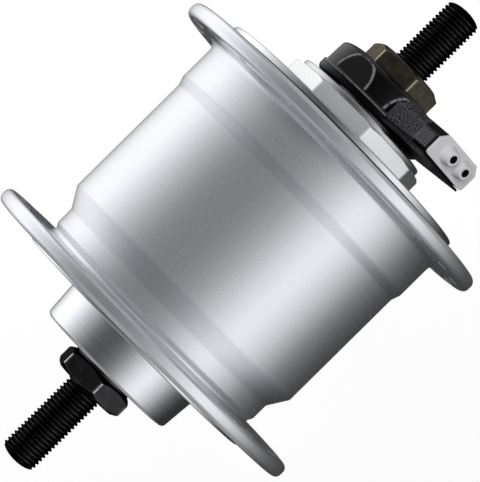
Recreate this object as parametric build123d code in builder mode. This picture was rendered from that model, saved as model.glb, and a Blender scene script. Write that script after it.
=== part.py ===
from build123d import *
import os
from math import cos, radians, sin, sqrt

# Hub dynamo for a bicycle front wheel: 36 spoke holes, a threaded axle with lock nuts.
# The axle runs along Y with its connector end at +Y, the connector's arm points up along +Z,
# and the origin is the middle of the axle. Lengths are millimetres, angles are degrees.
# A station is a place along the axle, measured from the origin.

os.makedirs("parts", exist_ok=True)

# Fits and allowances shared by all pieces
fit_gap = 0.05
race_gap = 0.1
air_gap = 0.5
sliding_gap = 0.15
clear_gap = 0.3
overrun = 5.0

# Axle, 9 mm thread size, and the slot that takes the coil's lead
axle_diameter = 9.0
axle_end_round = 1.7
lead_slot_width = 1.4
lead_slot_depth = 1.5

# Lock nuts: the fork clamps their outer faces
over_lock_nuts = 100.0
left_stick_out = 22.0
right_stick_out = 18.0
nut_across_flats = 17.0
nut_bevel = 1.2
nut_bevel_width = 2.0
left_nut_thickness = 5.2
right_nut_thickness = 4.5
left_nut_turn = -32.4
right_nut_turn = -25.8
washer_diameter = 15.6
washer_thickness = 0.8

# Hub shell, outside
flange_diameter = 86.8
flange_height = 10.2
flange_thickness = 3.6
flange_from_left_nut = 17.8
flange_rim_round = 1.4
spoke_edge = 3.4
spoke_count = 18
spoke_hole_diameter = 2.6
left_spoke_turn = 7.2
right_spoke_turn = -2.8
boss_wall = 4.2
boss_flare = 0.7
boss_end_gap = 0.1
boss_round = 1.0
boss_root_round = 0.6
step_disc_inset = 1.2
step_disc_height = 1.0
step_disc_round = 0.4
groove_depth = 0.6
groove_width = 1.3
groove_from_flange = 0.9
shoulder_rise = 0.2
neck_drop = 2.8
neck_width = 4.0
barrel_cone_width = 4.5
barrel_edge_round = 0.5
band_rise = 0.7
band_width = 10.2
band_cone_width = 2.0
flange_root_round = 0.8

# Hub shell, inside
barrel_wall = 2.35
neck_wall = 3.0
end_wall = 4.5
cup_ledge = 2.6

# Right-hand cover with the octagon for its wrench, with its seal and dust cover
cover_disc_inset = 0.4
cover_disc_thickness = 1.4
cover_disc_round = 0.5
cover_seam = 0.8
cover_spigot_length = 5.0
cover_spigot_wall = 2.6
cup_floor = 1.2
cover_neck_inset = 0.8
cover_neck_length = 0.8
octagon_across_flats = 35.6
octagon_thickness = 3.8
octagon_bevel = 0.4
octagon_turn = -33.9
seal_width = 1.6
dust_cover_diameter = 34.8
dust_cover_thickness = 1.4
dust_cover_round = 0.4
dust_cover_spigot = 1.1
dust_gap = 0.4
dust_cap_thickness = 1.0
dust_cap_inset = 0.5

# Cup-and-cone bearings, the same at both ends
ball_diameter = 4.76
ball_count = 10
ball_circle = 19.0
ball_inset = 5.1
cup_wall = 1.62
cup_throat_drop = 0.7
cup_lip = 3.4
cup_rim = 2.6
race_edge = 1.2
cone_nose_drop = 3.3
cone_nose_length = 1.8
cone_collar_drop = 1.0
cage_inside = 0.55
cage_outside = 1.4
cage_start_offset = 1.2
cage_end_offset = 2.85

# Magnet ring, glued inside the shell
magnet_thickness = 3.5
magnet_count = 4
magnet_joint = 0.4
magnet_inset = 1.7
magnet_end_gap = 4.4
yoke_thickness = 2.2

# Claw-pole stator, clamped on the axle
claw_count = 14
claw_plate_thickness = 1.6
claw_thickness = 2.0
claw_root_width = 5.0
claw_tip_width = 2.6
claw_tip_gap = 2.2
stator_inset = 1.0
core_diameter = 19.0
bobbin_wall = 1.2
bobbin_gap = 0.2
coil_margin = 1.0
stator_nut_across_flats = 14.0
stator_nut_thickness = 4.0

# Coil lead: out of the core, along the axle's slot and up behind the connector
lead_diameter = 1.0
lead_bend = 1.5
lead_hole_diameter = 1.4
lead_hole_from_plate = 3.4
lead_channel_depth = 1.4

# Connector mount: a flat ring on the axle with an arm that carries the contacts
mount_thickness = 1.7
mount_round = 1.2
mount_gap = 0.7
arm_width = 15.3
arm_root = 9.0
arm_top_drop = 0.9
arm_root_thickness = 1.2
arm_tip_thickness = 0.5
arm_front_inset = 0.3
rail_width = 9.6
rail_height = 1.9
rail_top_drop = 4.0
contact_width = 2.2
contact_thickness = 0.4
contact_spacing = 5.0
contact_inset = 0.9

# Round black body of the connector with six sloping grip flats
shroud_diameter = 30.0
shroud_length = 7.5
shroud_collar = 0.8
shroud_flat_depth = 0.6
shroud_flat_slope = 9.5
shroud_dome_width = 5.8
shroud_dome_length = 2.0
shroud_flats_turn = 14.0

# Wire plug on the arm: ribbed body, and a light cap with two wire ports
plug_thickness = 6.25
plug_bevel = 1.8
plug_corner_round = 0.8
plug_root = 10.0
plug_top = 30.5
cap_thickness = 0.6
cap_spigot_depth = 2.2
cap_spigot_margin = 1.5
port_spacing = 5.3
port_hole_diameter = 1.8
port_base_diameter = 4.3
port_taper = 14.0
port_height = 2.3
rib_pitch = 0.8
rib_groove_width = 0.4
rib_groove_depth = 0.3
rib_count = 6
rib_top_margin = 1.3
rib_side_margin = 0.35

# Stations, worked out from the sizes above
axle_length = left_stick_out + over_lock_nuts + right_stick_out
left_nut_face = left_stick_out - axle_length / 2
right_nut_face = left_nut_face + over_lock_nuts
washer_station = left_nut_face + left_nut_thickness
cone_left_end = washer_station + washer_thickness
boss_face = cone_left_end + boss_end_gap
left_flange_outer = left_nut_face + flange_from_left_nut - flange_thickness / 2
left_flange_inner = left_flange_outer + flange_thickness
step_disc_face = left_flange_outer - step_disc_height
cavity_floor = step_disc_face + end_wall
groove_start = left_flange_inner + groove_from_flange
neck_start = groove_start + groove_width
neck_end = neck_start + neck_width
barrel_start = neck_end + barrel_cone_width

# Stations of the right-hand end, counted back from its lock nut
right_nut_start = right_nut_face - right_nut_thickness
shroud_start = right_nut_start - shroud_length
mount_face = shroud_start
mount_start = mount_face - mount_thickness
dust_cover_face = mount_start - mount_gap
octagon_end = dust_cover_face - dust_cover_thickness
octagon_start = octagon_end - octagon_thickness
cover_disc_face = octagon_start - cover_neck_length
cover_disc_start = cover_disc_face - cover_disc_thickness
right_flange_outer = cover_disc_start - cover_seam
right_flange_inner = right_flange_outer - flange_thickness
spigot_start = right_flange_outer - cover_spigot_length
band_start = right_flange_inner - band_width
barrel_end = band_start - band_cone_width

# Stations of what lies inside
left_balls_at = boss_face + ball_inset
right_balls_at = octagon_end - ball_inset
cover_floor = right_balls_at - cup_lip - cup_floor
magnet_start = barrel_start + magnet_inset
magnet_end = spigot_start - magnet_end_gap
magnet_length = magnet_end - magnet_start
stator_start = magnet_start + stator_inset
stator_end = magnet_end - stator_inset
stator_length = stator_end - stator_start
lead_station = stator_end - claw_plate_thickness - lead_hole_from_plate

# Places of the connector's arm, and of the plug on it
arm_front = mount_face - arm_front_inset
arm_top = plug_top - arm_top_drop
rail_top = plug_top - rail_top_drop
plug_back = arm_front + sliding_gap
plug_front = plug_back + plug_thickness
plug_middle = (plug_back + plug_front) / 2

# Radii that several pieces share
axle_radius = axle_diameter / 2
bore_radius = axle_radius + fit_gap
ball_radius = ball_diameter / 2
race_radius = ball_radius + race_gap
pitch_radius = ball_circle / 2
cup_radius = pitch_radius + race_radius + cup_wall
cup_seat_radius = cup_radius + fit_gap
passage_radius = cup_radius - cup_ledge
collar_radius = pitch_radius - cone_collar_drop
dust_hole_radius = collar_radius + dust_gap
flange_radius = flange_diameter / 2
barrel_radius = flange_radius - flange_height
band_radius = barrel_radius + band_rise
neck_radius = barrel_radius - neck_drop
shoulder_radius = neck_radius + shoulder_rise
cavity_radius = barrel_radius - barrel_wall
yoke_radius = cavity_radius - fit_gap
magnet_radius = yoke_radius - yoke_thickness - fit_gap
stator_radius = magnet_radius - magnet_thickness - air_gap
claw_inner_radius = stator_radius - claw_thickness
core_radius = core_diameter / 2
bobbin_radius = claw_inner_radius - bobbin_gap
lead_depth = axle_radius - lead_slot_depth + lead_diameter / 2
shroud_radius = shroud_diameter / 2
shroud_end_radius = shroud_radius - shroud_dome_width
socket_radius = shroud_radius + clear_gap


def station_plane(station):
    """Plane square to the axle. Its own x is +Z, the arm's direction, and its y is +X."""
    return Plane(origin=(0, station, 0), x_dir=(0, 0, 1), z_dir=(0, 1, 0))


def radial_plane(angle, radius):
    """Plane facing out from the axle at this angle from +Z towards +X. Its y is +Y."""
    across = sin(radians(angle))
    up = cos(radians(angle))
    return Plane(origin=(radius * across, 0, radius * up), x_dir=(up, 0, -across), z_dir=(across, 0, up))


def section(*points):
    """Half-section through (radius, station) points, ready to revolve about the axle."""
    with BuildSketch() as half:
        with BuildLine():
            Polyline(*points, close=True)
        make_face()
    return half.sketch


def rounded_section(*corners):
    """Half-section through (radius, station, rounding) corners. No rounding leaves one sharp."""
    places = [corner[:2] for corner in corners]
    roundings = [corner[2] for corner in corners]
    with BuildSketch() as half:
        with BuildLine():
            FilletPolyline(*places, radius=roundings, close=True)
        make_face()
    return half.sketch


def ring(inner, outer, start, end):
    """Half-section of a plain ring between two radii and two stations."""
    return section((inner, start), (outer, start), (outer, end), (inner, end))


def race_circle(station):
    """Section of the ring-shaped space that the balls run in."""
    with BuildSketch() as space:
        with Locations((pitch_radius, station)):
            Circle(race_radius)
    return space.sketch


def many_sided(station, across_flats, sides, turn):
    """Regular outline across the axle, such as a hexagon, given by its width across flats."""
    with BuildSketch(station_plane(station)) as outline:
        RegularPolygon(across_flats / 2, sides, major_radius=False, rotation=turn)
    return outline.sketch


def plug_outline(height):
    """Cross-section of the plug: bevelled outer corners, rounded ones next to the arm."""
    with BuildSketch(Plane.XY.offset(height)) as outline:
        with Locations((0, plug_middle)):
            Rectangle(arm_width, plug_thickness)
        corners = outline.vertices().group_by(Axis.Y)
        chamfer(corners[-1], plug_bevel)
        fillet(corners[0], plug_corner_round)
    return outline.sketch


def block(width, back, front, bottom, top):
    """Square-edged solid centred on the arm's middle plane, between stations and heights."""
    with BuildSketch(Plane.YZ) as side:
        with BuildLine():
            Polyline((back, bottom), (front, bottom), (front, top), (back, top), close=True)
        make_face()
    return extrude(side.sketch, amount=width / 2, both=True, mode=Mode.PRIVATE)


def finish(piece, name):
    """Label a finished piece and write it out."""
    piece.part.label = name
    export_step(piece.part, f"parts/{name}.step")


# Axle: one steel stud, rounded at both ends, with a slot for the coil's lead
with BuildPart() as axle:
    revolve(
        rounded_section(
            (0, -axle_length / 2, 0),
            (axle_radius, -axle_length / 2, axle_end_round),
            (axle_radius, axle_length / 2, axle_end_round),
            (0, axle_length / 2, 0),
        ),
        axis=Axis.Y,
    )
    slot_floor = axle_radius - lead_slot_depth
    slot_start = lead_station - lead_hole_diameter
    add(
        block(lead_slot_width, slot_start, mount_face, slot_floor, axle_radius + overrun),
        mode=Mode.SUBTRACT,
    )
finish(axle, "axle")

# Lock nuts: hexagons with turned bevels, on both faces at the left and outside at the right
nut_corner = nut_across_flats / sqrt(3)
with BuildPart() as left_lock_nut:
    extrude(many_sided(left_nut_face, nut_across_flats, 6, left_nut_turn), amount=left_nut_thickness)
    revolve(
        section(
            (bore_radius, left_nut_face),
            (nut_corner - nut_bevel_width, left_nut_face),
            (nut_corner, left_nut_face + nut_bevel),
            (nut_corner, washer_station - nut_bevel),
            (nut_corner - nut_bevel_width, washer_station),
            (bore_radius, washer_station),
        ),
        axis=Axis.Y,
        mode=Mode.INTERSECT,
    )
finish(left_lock_nut, "left_lock_nut")

with BuildPart() as right_lock_nut:
    extrude(many_sided(right_nut_start, nut_across_flats, 6, right_nut_turn), amount=right_nut_thickness)
    revolve(
        section(
            (bore_radius, right_nut_start),
            (nut_corner + fit_gap, right_nut_start),
            (nut_corner + fit_gap, right_nut_face - nut_bevel),
            (nut_corner - nut_bevel_width, right_nut_face),
            (bore_radius, right_nut_face),
        ),
        axis=Axis.Y,
        mode=Mode.INTERSECT,
    )
finish(right_lock_nut, "right_lock_nut")

with BuildPart() as left_washer:
    revolve(ring(bore_radius, washer_diameter / 2, washer_station, cone_left_end), axis=Axis.Y)
finish(left_washer, "left_washer")

# Hub shell: one turned casting with both spoke flanges and the left bearing boss, open at the right
with BuildPart() as hub_shell:
    boss_radius = cup_radius + boss_wall
    step_disc_radius = barrel_radius - step_disc_inset
    groove_radius = neck_radius - groove_depth
    left_cavity_radius = neck_radius - neck_wall
    cup_seat_end = left_balls_at + cup_lip
    wall_cone_start = barrel_start - end_wall
    revolve(
        rounded_section(
            (cup_seat_radius, boss_face, 0),
            (boss_radius, boss_face, boss_round),
            (boss_radius + boss_flare, step_disc_face, boss_root_round),
            (step_disc_radius, step_disc_face, step_disc_round),
            (step_disc_radius, left_flange_outer, 0),
            (flange_radius, left_flange_outer, flange_rim_round),
            (flange_radius, left_flange_inner, flange_rim_round),
            (shoulder_radius, left_flange_inner, 0),
            (shoulder_radius, groove_start, 0),
            (groove_radius, groove_start, 0),
            (groove_radius, neck_start, 0),
            (neck_radius, neck_start, 0),
            (neck_radius, neck_end, 0),
            (barrel_radius, barrel_start, barrel_edge_round),
            (barrel_radius, barrel_end, barrel_edge_round),
            (band_radius, band_start, barrel_edge_round),
            (band_radius, right_flange_inner, flange_root_round),
            (flange_radius, right_flange_inner, flange_rim_round),
            (flange_radius, right_flange_outer, flange_rim_round),
            (cavity_radius, right_flange_outer, 0),
            (cavity_radius, barrel_start, 0),
            (left_cavity_radius, wall_cone_start, 0),
            (left_cavity_radius, cavity_floor, 0),
            (passage_radius, cavity_floor, 0),
            (passage_radius, cup_seat_end, 0),
            (cup_seat_radius, cup_seat_end, 0),
        ),
        axis=Axis.Y,
    )
    for flange_start, turn in ((left_flange_outer, left_spoke_turn), (right_flange_inner, right_spoke_turn)):
        with BuildSketch(station_plane(flange_start)):
            with PolarLocations(flange_radius - spoke_edge, spoke_count, start_angle=turn):
                Circle(spoke_hole_diameter / 2)
        extrude(amount=flange_thickness, mode=Mode.SUBTRACT)
finish(hub_shell, "hub_shell")

# Right-hand cover: its spigot goes into the shell, its octagon takes the wrench
cover_disc_radius = band_radius - cover_disc_inset
cover_neck_radius = octagon_across_flats / 2 - cover_neck_inset
with BuildPart() as right_end_cover:
    revolve(
        rounded_section(
            (passage_radius, cover_floor, 0),
            (yoke_radius - cover_spigot_wall, cover_floor, 0),
            (yoke_radius - cover_spigot_wall, spigot_start, 0),
            (yoke_radius, spigot_start, 0),
            (yoke_radius, cover_disc_start, 0),
            (cover_disc_radius, cover_disc_start, 0),
            (cover_disc_radius, cover_disc_face, cover_disc_round),
            (cover_neck_radius, cover_disc_face, 0),
            (cover_neck_radius, octagon_start, 0),
            (passage_radius, octagon_start, 0),
        ),
        axis=Axis.Y,
    )
    extrude(
        many_sided(octagon_start, octagon_across_flats, 8, octagon_turn),
        amount=octagon_thickness,
    )
    chamfer(faces().sort_by(Axis.Y)[-1].edges(), octagon_bevel)
    cup_seat_start = right_balls_at - cup_lip
    revolve(
        ring(0, cup_seat_radius, cup_seat_start, octagon_end + overrun),
        axis=Axis.Y,
        mode=Mode.SUBTRACT,
    )
    revolve(
        ring(0, passage_radius, cover_floor - overrun, cup_seat_start),
        axis=Axis.Y,
        mode=Mode.SUBTRACT,
    )
finish(right_end_cover, "right_end_cover")

with BuildPart() as cover_seal:
    seal_inner = yoke_radius + fit_gap
    revolve(ring(seal_inner, seal_inner + seal_width, right_flange_outer, cover_disc_start), axis=Axis.Y)
finish(cover_seal, "cover_seal")

# Dust covers, pressed into the cover's bore and into the left boss
with BuildPart() as right_dust_cover:
    revolve(
        rounded_section(
            (dust_hole_radius, octagon_end - dust_cover_spigot, 0),
            (cup_radius, octagon_end - dust_cover_spigot, 0),
            (cup_radius, octagon_end, 0),
            (dust_cover_diameter / 2, octagon_end, 0),
            (dust_cover_diameter / 2, dust_cover_face, dust_cover_round),
            (dust_hole_radius, dust_cover_face, 0),
        ),
        axis=Axis.Y,
    )
finish(right_dust_cover, "right_dust_cover")

with BuildPart() as left_dust_cap:
    cap_outer_face = boss_face + dust_cap_inset
    revolve(
        ring(dust_hole_radius, cup_radius, cap_outer_face, cap_outer_face + dust_cap_thickness),
        axis=Axis.Y,
    )
finish(left_dust_cap, "left_dust_cap")

# Bearings. Outward is the direction from the balls to that end of the hub: -1 left, 1 right.
mouth_radius = pitch_radius + race_radius
throat_radius = pitch_radius - cup_throat_drop
nose_radius = pitch_radius - cone_nose_drop
for side, balls_at, collar_end, outward in (
    ("left", left_balls_at, cone_left_end, -1),
    ("right", right_balls_at, mount_start, 1),
):
    with BuildPart() as bearing_cup:
        revolve(
            section(
                (cup_radius, balls_at + outward * cup_rim),
                (cup_radius, balls_at - outward * cup_lip),
                (throat_radius, balls_at - outward * cup_lip),
                (throat_radius, balls_at - outward * race_edge),
                (mouth_radius, balls_at),
                (mouth_radius, balls_at + outward * cup_rim),
            ),
            axis=Axis.Y,
        )
        revolve(race_circle(balls_at), axis=Axis.Y, mode=Mode.SUBTRACT)
    finish(bearing_cup, f"{side}_bearing_cup")

    with BuildPart() as bearing_cone:
        revolve(
            section(
                (bore_radius, collar_end),
                (collar_radius, collar_end),
                (collar_radius, balls_at + outward * race_edge),
                (nose_radius, balls_at - outward * cone_nose_length),
                (bore_radius, balls_at - outward * cone_nose_length),
            ),
            axis=Axis.Y,
        )
        revolve(race_circle(balls_at), axis=Axis.Y, mode=Mode.SUBTRACT)
    finish(bearing_cone, f"{side}_cone")

    with BuildPart() as balls:
        with Locations(station_plane(balls_at)):
            with PolarLocations(pitch_radius, ball_count):
                Sphere(ball_radius)
    finish(balls, f"{side}_balls")

    with BuildPart() as ball_cage:
        revolve(
            ring(
                pitch_radius - cage_inside,
                pitch_radius + cage_outside,
                balls_at + outward * cage_start_offset,
                balls_at + outward * cage_end_offset,
            ),
            axis=Axis.Y,
        )
        with Locations(station_plane(balls_at)):
            with PolarLocations(pitch_radius, ball_count):
                Sphere(ball_radius + fit_gap, mode=Mode.SUBTRACT)
    finish(ball_cage, f"{side}_ball_cage")

# Magnet ring: a steel yoke, and curved magnets with narrow joints inside it
with BuildPart() as magnet_yoke:
    revolve(ring(yoke_radius - yoke_thickness, yoke_radius, magnet_start, magnet_end), axis=Axis.Y)
finish(magnet_yoke, "magnet_yoke")

with BuildPart() as magnets:
    revolve(ring(magnet_radius - magnet_thickness, magnet_radius, magnet_start, magnet_end), axis=Axis.Y)
    with BuildSketch(station_plane(magnet_start)):
        with PolarLocations(magnet_radius, magnet_count):
            Rectangle(2 * magnet_thickness + overrun, magnet_joint)
    extrude(amount=magnet_length, mode=Mode.SUBTRACT)
finish(magnets, "magnets")

# Claw poles: two toothed steel stars whose claws reach in between each other's
claw_pitch = 360 / claw_count
claw_length = stator_length - claw_plate_thickness - claw_tip_gap
for side, plate_outer, inward, first_claw in (
    ("left", stator_start, 1, 0),
    ("right", stator_end, -1, claw_pitch / 2),
):
    plate_inner = plate_outer + inward * claw_plate_thickness
    claw_tip = plate_inner + inward * claw_length
    with BuildPart() as claw_pole:
        claw_planes = [
            radial_plane(first_claw + count * claw_pitch, claw_inner_radius - claw_thickness)
            for count in range(claw_count)
        ]
        with BuildSketch(*claw_planes):
            with BuildLine():
                Polyline(
                    (-claw_root_width / 2, plate_outer),
                    (-claw_root_width / 2, plate_inner),
                    (-claw_tip_width / 2, claw_tip),
                    (claw_tip_width / 2, claw_tip),
                    (claw_root_width / 2, plate_inner),
                    (claw_root_width / 2, plate_outer),
                    close=True,
                )
            make_face()
        extrude(amount=2 * claw_thickness + overrun)
        revolve(
            ring(claw_inner_radius, stator_radius, plate_outer, claw_tip),
            axis=Axis.Y,
            mode=Mode.INTERSECT,
        )
        revolve(ring(bore_radius, claw_inner_radius, plate_outer, plate_inner), axis=Axis.Y)
    finish(claw_pole, f"{side}_claw_pole")

# Stator core: a steel sleeve between the claw plates, drilled for the coil's lead
core_start = stator_start + claw_plate_thickness
core_end = stator_end - claw_plate_thickness
with BuildPart() as stator_core:
    revolve(ring(bore_radius, core_radius, core_start, core_end), axis=Axis.Y)
    with BuildSketch(Plane.XY):
        with Locations((0, lead_station)):
            Circle(lead_hole_diameter / 2)
    extrude(amount=core_radius + overrun, mode=Mode.SUBTRACT)
finish(stator_core, "stator_core")

# Coil: a moulded bobbin and the wire wound on it
spool_radius = core_radius + fit_gap + bobbin_wall
with BuildPart() as coil_bobbin:
    revolve(
        section(
            (core_radius + fit_gap, core_start),
            (bobbin_radius, core_start),
            (bobbin_radius, core_start + bobbin_wall),
            (spool_radius, core_start + bobbin_wall),
            (spool_radius, core_end - bobbin_wall),
            (bobbin_radius, core_end - bobbin_wall),
            (bobbin_radius, core_end),
            (core_radius + fit_gap, core_end),
        ),
        axis=Axis.Y,
    )
    with BuildSketch(Plane.XY):
        with Locations((0, lead_station)):
            Circle(lead_hole_diameter / 2)
    extrude(amount=core_radius + overrun, mode=Mode.SUBTRACT)
finish(coil_bobbin, "coil_bobbin")

with BuildPart() as coil_winding:
    revolve(
        ring(
            spool_radius + fit_gap,
            bobbin_radius - coil_margin,
            core_start + bobbin_wall + fit_gap,
            core_end - bobbin_wall - fit_gap,
        ),
        axis=Axis.Y,
    )
finish(coil_winding, "coil_winding")

# Nuts that clamp the stator on the axle
for side, nut_start in (("left", stator_start - stator_nut_thickness), ("right", stator_end)):
    with BuildPart() as stator_nut:
        extrude(many_sided(nut_start, stator_nut_across_flats, 6, 0), amount=stator_nut_thickness)
        with BuildSketch(station_plane(nut_start)):
            Circle(bore_radius)
        extrude(amount=stator_nut_thickness, mode=Mode.SUBTRACT)
    finish(stator_nut, f"{side}_stator_nut")

# Coil lead: an insulated wire in three straight runs with bends between them
lead_riser_station = mount_face - lead_channel_depth / 2
with BuildPart() as coil_lead:
    with BuildLine(Plane.YZ) as lead_route:
        FilletPolyline(
            (lead_station, spool_radius),
            (lead_station, lead_depth),
            (lead_riser_station, lead_depth),
            (lead_riser_station, shroud_radius - fit_gap),
            radius=lead_bend,
        )
    with BuildSketch(Plane(origin=lead_route.line @ 0, z_dir=lead_route.line % 0)):
        Circle(lead_diameter / 2)
    sweep()
finish(coil_lead, "coil_lead")

# Connector mount: ring on the axle, tapering arm behind the plug, and a rail for the contacts
with BuildPart() as connector_mount:
    revolve(
        rounded_section(
            (bore_radius, mount_start, 0),
            (shroud_radius, mount_start, mount_round),
            (shroud_radius, mount_face, 0),
            (bore_radius, mount_face, 0),
        ),
        axis=Axis.Y,
    )
    with BuildSketch(Plane.YZ):
        with BuildLine():
            Polyline(
                (arm_front - arm_root_thickness, arm_root),
                (arm_front, arm_root),
                (arm_front, arm_top),
                (arm_front - arm_tip_thickness, arm_top),
                close=True,
            )
        make_face()
    extrude(amount=arm_width / 2, both=True)
    rail_front = arm_front + rail_height
    add(block(rail_width, arm_front, rail_front, socket_radius, rail_top))
    add(
        block(
            lead_hole_diameter,
            mount_face - lead_channel_depth,
            mount_face + overrun,
            0,
            shroud_radius,
        ),
        mode=Mode.SUBTRACT,
    )
finish(connector_mount, "connector_mount")

# Contacts: two plated strips along the rail's front, one for each wire
contact_front = rail_front + contact_thickness
with BuildPart() as contact_strips:
    for side_of_arm in (-1, 1):
        with BuildSketch(Plane.XY.offset(socket_radius + contact_inset)):
            with Locations((side_of_arm * contact_spacing / 2, rail_front + contact_thickness / 2)):
                Rectangle(contact_width, contact_thickness)
    extrude(amount=rail_top - socket_radius - 2 * contact_inset)
finish(contact_strips, "contact_strips")

# Round connector body: a domed puck with six flats that slope in towards the end
with BuildPart() as connector_body:
    flats_start = shroud_start + shroud_collar
    extrude(
        many_sided(flats_start, shroud_diameter - 2 * shroud_flat_depth, 6, shroud_flats_turn),
        amount=right_nut_start - flats_start,
        taper=shroud_flat_slope,
    )
    with BuildSketch(station_plane(shroud_start)):
        Circle(shroud_radius + overrun)
    extrude(amount=shroud_collar)
    with BuildSketch(Plane.XY) as puck:
        dome_start = right_nut_start - shroud_dome_length
        with BuildLine():
            Polyline(
                (shroud_end_radius, right_nut_start),
                (bore_radius, right_nut_start),
                (bore_radius, shroud_start),
                (shroud_radius, shroud_start),
                (shroud_radius, dome_start),
            )
            EllipticalCenterArc(
                (shroud_end_radius, dome_start),
                shroud_dome_width,
                shroud_dome_length,
                start_angle=0,
                arc_size=90,
            )
        make_face()
    revolve(puck.sketch, axis=Axis.Y, mode=Mode.INTERSECT)
finish(connector_body, "connector_body")

# Plug body: slides on the arm from above, open behind for the rail, ribbed below its cap
with BuildPart() as plug_body:
    body_top = plug_top - cap_thickness
    extrude(plug_outline(plug_root), amount=body_top - plug_root)
    revolve(
        ring(0, socket_radius, plug_back - overrun, plug_front + overrun),
        axis=Axis.Y,
        mode=Mode.SUBTRACT,
    )
    channel_width = rail_width + 2 * sliding_gap
    channel_front = contact_front + sliding_gap
    add(
        block(channel_width, plug_back - overrun, channel_front, plug_root - overrun, rail_top + clear_gap),
        mode=Mode.SUBTRACT,
    )
    with BuildSketch(Plane.XY.offset(body_top)):
        with Locations((0, plug_middle)):
            Rectangle(arm_width - 2 * cap_spigot_margin, plug_thickness - 2 * cap_spigot_margin)
    extrude(amount=-cap_spigot_depth, mode=Mode.SUBTRACT)
    rib_length = plug_thickness - plug_bevel - rib_side_margin - plug_corner_round
    rib_middle = plug_back + plug_corner_round + rib_length / 2
    for side_of_arm in (-1, 1):
        with BuildSketch(Plane.YZ.offset(side_of_arm * arm_width / 2)):
            with Locations(
                *[(rib_middle, body_top - rib_top_margin - count * rib_pitch) for count in range(rib_count)]
            ):
                Rectangle(rib_length, rib_groove_width)
        extrude(amount=-side_of_arm * rib_groove_depth, mode=Mode.SUBTRACT)
finish(plug_body, "plug_body")

# Plug cap: a thin plate with a spigot below it and two raised wire ports
with BuildPart() as plug_cap:
    extrude(plug_outline(body_top), amount=cap_thickness)
    with BuildSketch(Plane.XY.offset(body_top)):
        spigot_inset = cap_spigot_margin + fit_gap
        with Locations((0, plug_middle)):
            Rectangle(arm_width - 2 * spigot_inset, plug_thickness - 2 * spigot_inset)
    extrude(amount=fit_gap - cap_spigot_depth)
    port_places = [(-port_spacing / 2, plug_middle), (port_spacing / 2, plug_middle)]
    with BuildSketch(Plane.XY.offset(plug_top)):
        with Locations(*port_places):
            Circle(port_base_diameter / 2)
    extrude(amount=port_height, taper=port_taper)
    with BuildSketch(Plane.XY.offset(plug_top + port_height)):
        with Locations(*port_places):
            Circle(port_hole_diameter / 2)
    extrude(amount=-(port_height + cap_thickness + cap_spigot_depth), mode=Mode.SUBTRACT)
finish(plug_cap, "plug_cap")
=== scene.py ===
import math

import bmesh
import bpy
import numpy as np
from mathutils import Matrix, Vector


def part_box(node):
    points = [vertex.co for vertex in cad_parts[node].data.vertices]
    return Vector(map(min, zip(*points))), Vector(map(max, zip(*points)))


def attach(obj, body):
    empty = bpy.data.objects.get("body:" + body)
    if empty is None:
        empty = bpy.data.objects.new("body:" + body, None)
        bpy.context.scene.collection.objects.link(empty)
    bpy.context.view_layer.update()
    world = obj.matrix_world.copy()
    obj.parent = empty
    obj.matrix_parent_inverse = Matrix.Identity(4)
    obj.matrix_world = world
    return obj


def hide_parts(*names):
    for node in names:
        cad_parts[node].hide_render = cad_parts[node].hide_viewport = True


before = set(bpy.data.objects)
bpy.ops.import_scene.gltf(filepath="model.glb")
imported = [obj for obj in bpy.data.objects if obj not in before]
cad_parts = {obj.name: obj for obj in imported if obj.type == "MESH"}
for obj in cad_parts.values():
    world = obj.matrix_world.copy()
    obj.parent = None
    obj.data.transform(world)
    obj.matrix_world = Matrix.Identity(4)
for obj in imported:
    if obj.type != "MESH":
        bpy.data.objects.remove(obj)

# Blender's start file brings a cube, a light and a camera, which are no part of this scene
for spare in ("Cube", "Light", "Camera"):
    if spare in bpy.data.objects:
        bpy.data.objects.remove(bpy.data.objects[spare])
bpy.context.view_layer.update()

# Axle: a 9 mm steel stud with a fine thread rolled on it and a black oxide finish, rounded
# at both ends. It is fixed in the fork, and all that doesn't spin is clamped on it.
MM = 0.001
axle_low, axle_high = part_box("axle")
axle_radius = (axle_high.x - axle_low.x) / 2
left_nut_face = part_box("left_lock_nut")[0].y
right_nut_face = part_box("right_lock_nut")[1].y
axle_end_height = 1.75 * MM
axle_end_rows = 12
thread_pitch = 1.0 * MM
thread_depth = 0.5 * MM
thread_reach = 3 * MM
thread_swing = 0.62
rows_a_pitch = 12
axle_columns = 72
crest_start, crest_full = 0.08 * MM, 0.02 * MM
crest_wear_and_glint_share = 0.8
merge_distance = 0.0005 * MM


def linear(hex_colour):
    """An sRGB hex colour as linear light with full alpha."""
    parts = np.array([int(hex_colour[place:place + 2], 16) for place in (1, 3, 5)]) / 255
    light = np.where(parts <= 0.04045, parts / 12.92, ((parts + 0.055) / 1.055) ** 2.4)
    return (*light.tolist(), 1.0)


def add_node(material, kind, values=None, links=None, **settings):
    """One node in a material: its settings, the values of its inputs, and what is linked to them."""
    node = material.node_tree.nodes.new(kind)
    for name, value in settings.items():
        setattr(node, name, value)
    for socket, value in (values or {}).items():
        node.inputs[socket].default_value = value
    for socket, output in (links or {}).items():
        material.node_tree.links.new(output, node.inputs[socket])
    return node


def node_output(material, name, socket):
    """What a material's named node gives."""
    return material.node_tree.nodes[name].outputs[socket]


def feed(material, name, socket, source):
    """Link a source to an input of a material's named node, in place of what fed it before."""
    material.node_tree.links.new(source, material.node_tree.nodes[name].inputs[socket])


def profile_place(material, place):
    """A point's distance from the axle, and a vector of that distance and the station."""
    parts = add_node(material, "ShaderNodeSeparateXYZ", links={"Vector": place})
    flat = add_node(material, "ShaderNodeCombineXYZ",
                    links={"X": parts.outputs["X"], "Y": parts.outputs["Z"]})
    radius = add_node(material, "ShaderNodeVectorMath", links={0: flat.outputs["Vector"]}, operation="LENGTH")
    found = add_node(material, "ShaderNodeCombineXYZ",
                     links={"X": radius.outputs["Value"], "Y": parts.outputs["Y"]})
    return radius.outputs["Value"], found.outputs["Vector"]


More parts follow.
